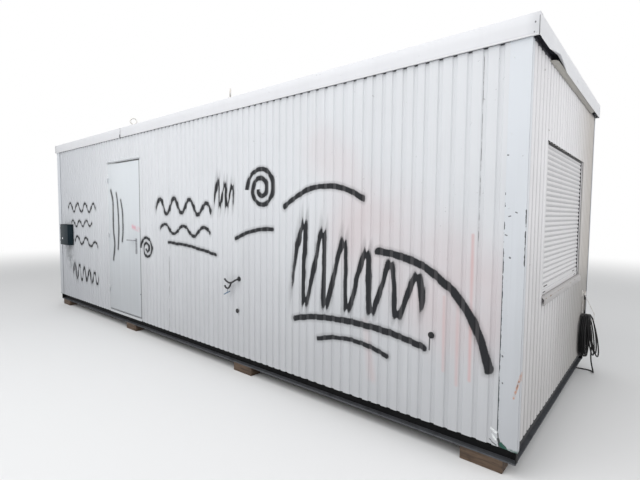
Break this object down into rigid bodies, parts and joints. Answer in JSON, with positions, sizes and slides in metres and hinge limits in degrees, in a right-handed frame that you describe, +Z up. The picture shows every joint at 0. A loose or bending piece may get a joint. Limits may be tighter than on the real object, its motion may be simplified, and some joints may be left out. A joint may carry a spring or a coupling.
{
  "type": "portable site cabin",
  "caption": "Long steel-clad site cabin on a channel frame, with an outward front door, a closed roller shutter over its end window, a folded fascia and a hung cable coil.",
  "frame": {"origin": "centre of the cabin's plan at the level that its packers rest on", "axes": "+X along the length towards the window end, +Y from the door front to the back, +Z up"},
  "size_m": [7.448, 2.5724, 2.7273],
  "materials": {
    "white_sheet": "weathered white paint on ribbed steel sheet",
    "end_sheet": "weathered warm white paint on ribbed steel sheet",
    "wall_panel": "pale lining board over an insulated timber frame",
    "chassis": "black painted rolled steel",
    "packer": "rough brown timber",
    "floor_board": "worn floor board",
    "fascia": "pale painted folded sheet",
    "corner": "chipped white paint on folded sheet",
    "soffit": "dull grey beige painted sheet",
    "roof_board": "dark timber roof board",
    "roof_sheet": "weathered galvanised roof sheet",
    "door": "smooth painted door skin",
    "door_trim": "white painted frame",
    "hardware": "dull anodised fittings",
    "steel": "dull zinc plated steel",
    "shutter": "off-white hollow slats",
    "window_frame": "white window profile",
    "glass": "clear pane",
    "sill": "painted folded sill",
    "box": "dark blue grey painted steel box",
    "black_fitting": "black painted rod",
    "plug": "black rubber plug",
    "cable": "black rubber cable sheath"
  },
  "bodies": {
    "cabin": {"support_packers": "packer", "chassis_channel_front": "chassis", "chassis_channel_back": "chassis", "chassis_channel_right": "chassis", "chassis_channel_left": "chassis", "floor_joists": "chassis", "floor_panel": "floor_board", "front_wall_left_of_door": "wall_panel", "front_wall_right_of_door": "wall_panel", "front_wall_over_door": "wall_panel", "back_wall": "wall_panel", "left_end_wall": "wall_panel", "right_end_wall_front_side": "wall_panel", "right_end_wall_back_side": "wall_panel", "right_end_wall_below_window": "wall_panel", "right_end_wall_over_window": "wall_panel", "front_cladding": "white_sheet", "back_cladding": "white_sheet", "left_end_cladding": "end_sheet", "right_end_cladding": "end_sheet", "corner_covers": "corner", "end_wall_rails": "chassis", "door_frame": "door_trim", "door_threshold": "door_trim", "door_hinges": "door_trim", "window_frame": "window_frame", "window_glass": "glass", "roller_shutter": "shutter", "shutter_guides": "shutter", "window_sill": "sill", "roof_panel": "roof_board", "roof_sheet": "roof_sheet", "fascia_front": "fascia", "fascia_back": "fascia", "fascia_left": "fascia", "fascia_right": "fascia", "soffit_left": "soffit", "soffit_right": "soffit", "lifting_eyes": "steel", "electric_box": "box", "wall_hook": "black_fitting", "wall_plugs": "plug", "cable_bracket": "steel", "cable_lead": "cable", "cable_coil": "cable", "cable_tail": "cable", "cable_plug": "plug"},
    "door": {"door_leaf": "door", "door_leaf_hinges": "door_trim", "lock_plates": "hardware"},
    "lever": {"door_lever": "hardware"}
  },
  "joints": [
    {"name": "door_hinge", "type": "hinge", "parent": "cabin", "child": "door", "pos_m": [-1.7075, -1.241, 1.2], "axis": [0, 0, -1], "range_deg": [0, 110]},
    {"name": "lever_turn", "type": "hinge", "parent": "door", "child": "lever", "pos_m": [-0.92, -1.28, 1.19], "axis": [0, -1, 0], "range_deg": [0, 40], "stiffness_Nm_per_rad": 0.8, "springref_deg": -28.65}
  ]
}
